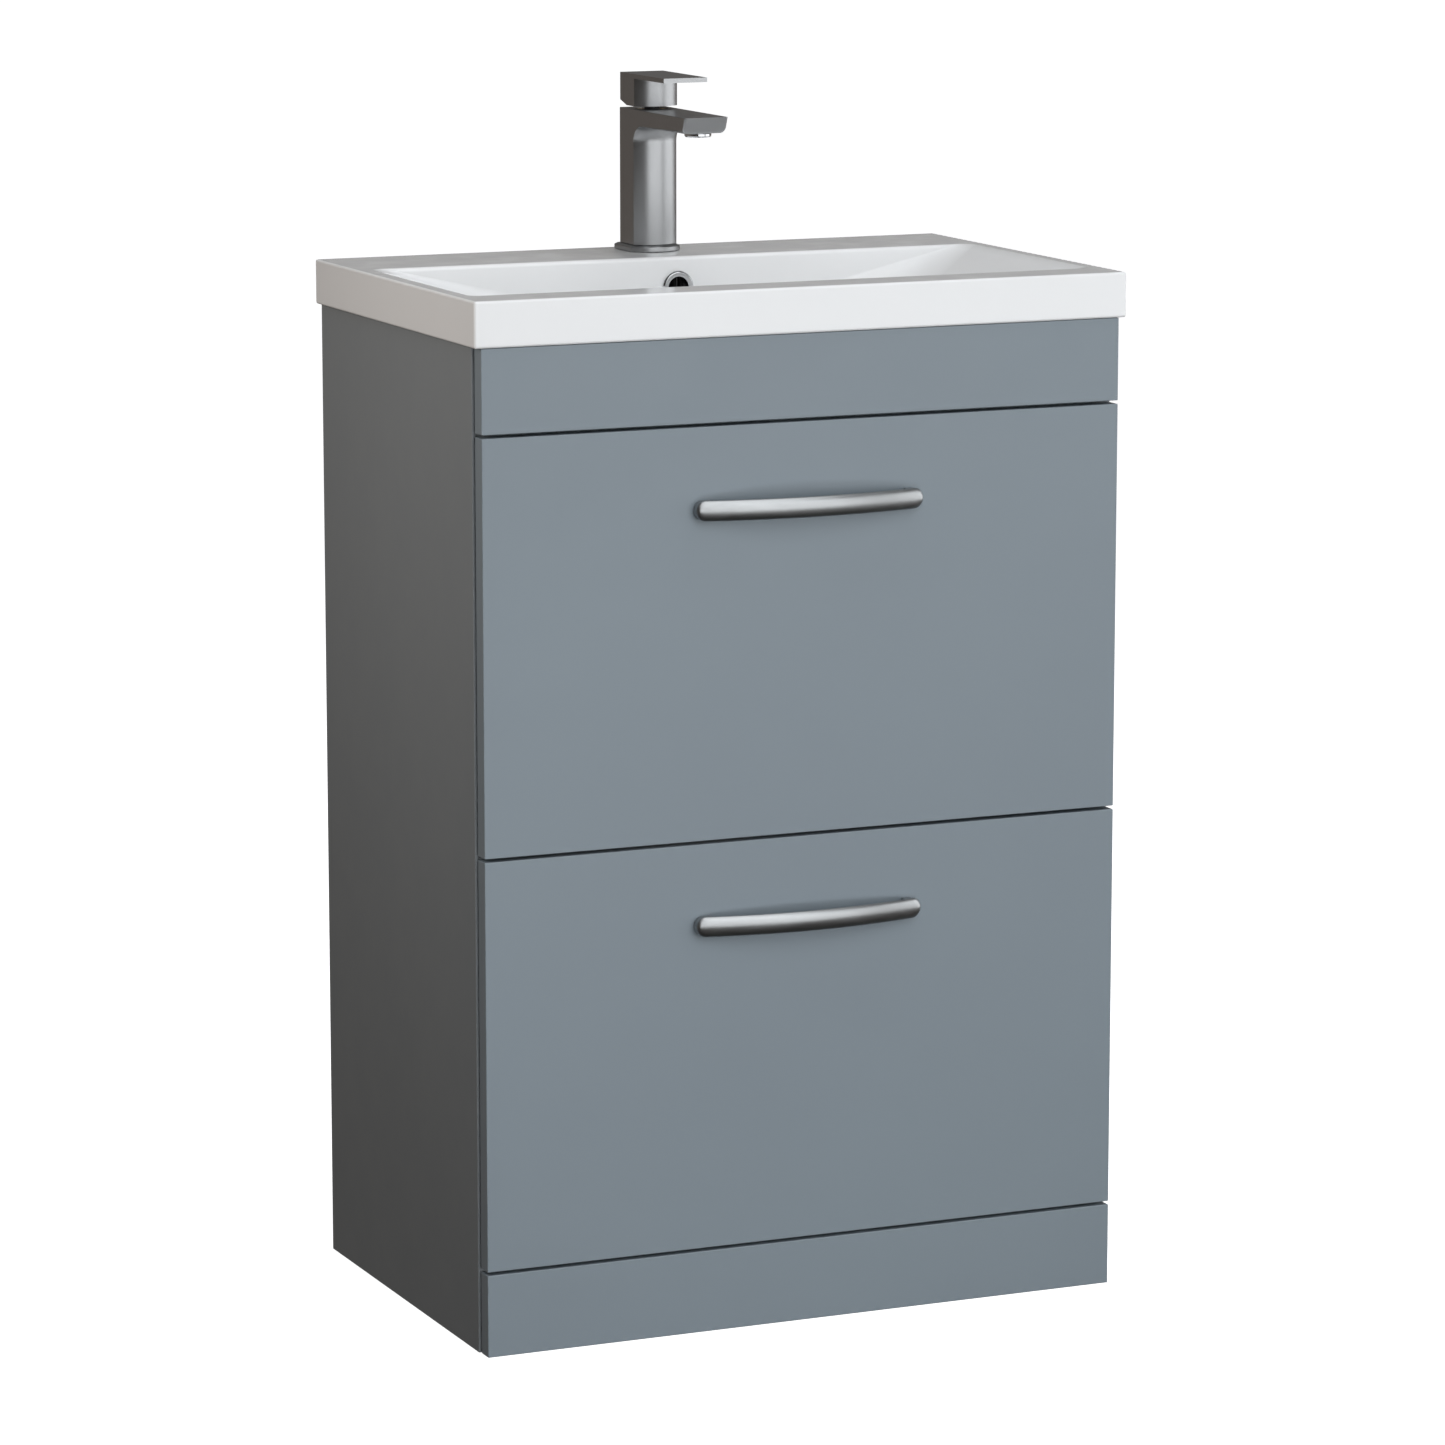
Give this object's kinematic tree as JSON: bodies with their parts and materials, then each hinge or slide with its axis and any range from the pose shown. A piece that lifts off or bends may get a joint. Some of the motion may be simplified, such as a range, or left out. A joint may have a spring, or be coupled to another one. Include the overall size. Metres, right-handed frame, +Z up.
{
  "type": "bathroom vanity cabinet",
  "caption": "Floor-standing bathroom vanity cabinet with pull-out drawers, a deep-edged ceramic basin, its waste and a single-lever mixer tap with a flat spout.",
  "frame": {"origin": "on the floor, under the middle of the object's overall box", "axes": "+Z up, -Y towards the user and the drawer fronts, +X to the user's right"},
  "size_m": [0.61, 0.4118, 1.07],
  "materials": {
    "lacquer": "satin blue-grey lacquer on fibreboard",
    "carcass_board": "grey foil on chipboard",
    "drawer_board": "light grey foil on chipboard",
    "ceramic": "gloss white glaze",
    "pewter": "brushed pewter plating on cast brass",
    "satin_nickel": "satin nickel plating",
    "chrome": "polished chrome plating",
    "zinc": "zinc-plated pressed steel",
    "brass": "plain turned brass",
    "plastic": "dark moulded plastic",
    "rubber": "black rubber"
  },
  "bodies": {
    "cabinet": {"side_panel_left": "lacquer", "side_panel_right": "lacquer", "bottom_panel": "carcass_board", "plinth_panel": "lacquer", "top_fascia": "lacquer", "front_stretcher": "carcass_board", "back_rail_upper": "carcass_board", "back_rail_lower": "carcass_board", "wall_bracket_left": "zinc", "wall_bracket_right": "zinc", "plinth_block_left": "plastic", "plinth_block_right": "plastic", "runner_cabinet_upper_left": "zinc", "runner_cabinet_upper_right": "zinc", "runner_cabinet_lower_left": "zinc", "runner_cabinet_lower_right": "zinc", "basin": "ceramic", "overflow_ring": "chrome", "waste_body": "chrome", "waste_washer": "rubber", "waste_nut": "brass", "tap_base_plate": "pewter", "tap_body": "pewter", "tap_aerator": "chrome", "tap_cartridge": "plastic", "tap_cartridge_nut": "brass", "tap_stud": "zinc", "tap_washer": "zinc", "tap_nut": "brass"},
    "waste_plug": {"waste_plug": "chrome"},
    "tap_swivel": {"tap_rotor": "plastic"},
    "tap_lever": {"tap_lever": "pewter", "tap_stem": "brass"},
    "drawer_upper": {"drawer_front_upper": "lacquer", "handle_upper": "satin_nickel", "drawer_inner_front_upper": "drawer_board", "drawer_bottom_upper": "drawer_board", "drawer_side_upper_left": "drawer_board", "drawer_side_upper_right": "drawer_board", "runner_drawer_upper_left": "zinc", "runner_drawer_upper_right": "zinc", "drawer_back_upper_left": "drawer_board", "drawer_back_upper_right": "drawer_board", "service_liner": "plastic"},
    "runner_middle_upper_left": {"runner_middle_upper_left": "zinc"},
    "runner_middle_upper_right": {"runner_middle_upper_right": "zinc"},
    "drawer_lower": {"drawer_front_lower": "lacquer", "handle_lower": "satin_nickel", "drawer_inner_front_lower": "drawer_board", "drawer_bottom_lower": "drawer_board", "drawer_side_lower_left": "drawer_board", "drawer_side_lower_right": "drawer_board", "runner_drawer_lower_left": "zinc", "runner_drawer_lower_right": "zinc", "drawer_back_lower": "drawer_board"},
    "runner_middle_lower_left": {"runner_middle_lower_left": "zinc"},
    "runner_middle_lower_right": {"runner_middle_lower_right": "zinc"}
  },
  "joints": [
    {"name": "drawer_upper_slide", "type": "slide", "parent": "cabinet", "child": "drawer_upper", "axis": [0, -1, 0], "range_m": [0, 0.3]},
    {"name": "runner_upper_left_travel", "type": "slide", "parent": "cabinet", "child": "runner_middle_upper_left", "axis": [0, -1, 0], "range_m": [0, 0.15]},
    {"name": "runner_upper_right_travel", "type": "slide", "parent": "cabinet", "child": "runner_middle_upper_right", "axis": [0, -1, 0], "range_m": [0, 0.15]},
    {"name": "drawer_lower_slide", "type": "slide", "parent": "cabinet", "child": "drawer_lower", "axis": [0, -1, 0], "range_m": [0, 0.3]},
    {"name": "runner_lower_left_travel", "type": "slide", "parent": "cabinet", "child": "runner_middle_lower_left", "axis": [0, -1, 0], "range_m": [0, 0.15]},
    {"name": "runner_lower_right_travel", "type": "slide", "parent": "cabinet", "child": "runner_middle_lower_right", "axis": [0, -1, 0], "range_m": [0, 0.15]},
    {"name": "waste_plug_lift", "type": "slide", "parent": "cabinet", "child": "waste_plug", "axis": [0, 0, 1], "range_m": [0, 0.009]},
    {"name": "tap_turn", "type": "hinge", "parent": "cabinet", "child": "tap_swivel", "pos_m": [0, 0.15665, 1.045], "axis": [0, 0, 1], "range_deg": [-45, 45]},
    {"name": "tap_lift", "type": "hinge", "parent": "tap_swivel", "child": "tap_lever", "pos_m": [0, 0.15665, 1.05], "axis": [-1, 0, 0], "range_deg": [0, 12]}
  ],
  "couplings": [
    {"joint": "runner_upper_left_travel", "follows": "drawer_upper_slide", "ratio": 0.5},
    {"joint": "runner_upper_right_travel", "follows": "drawer_upper_slide", "ratio": 0.5},
    {"joint": "runner_lower_left_travel", "follows": "drawer_lower_slide", "ratio": 0.5},
    {"joint": "runner_lower_right_travel", "follows": "drawer_lower_slide", "ratio": 0.5}
  ]
}
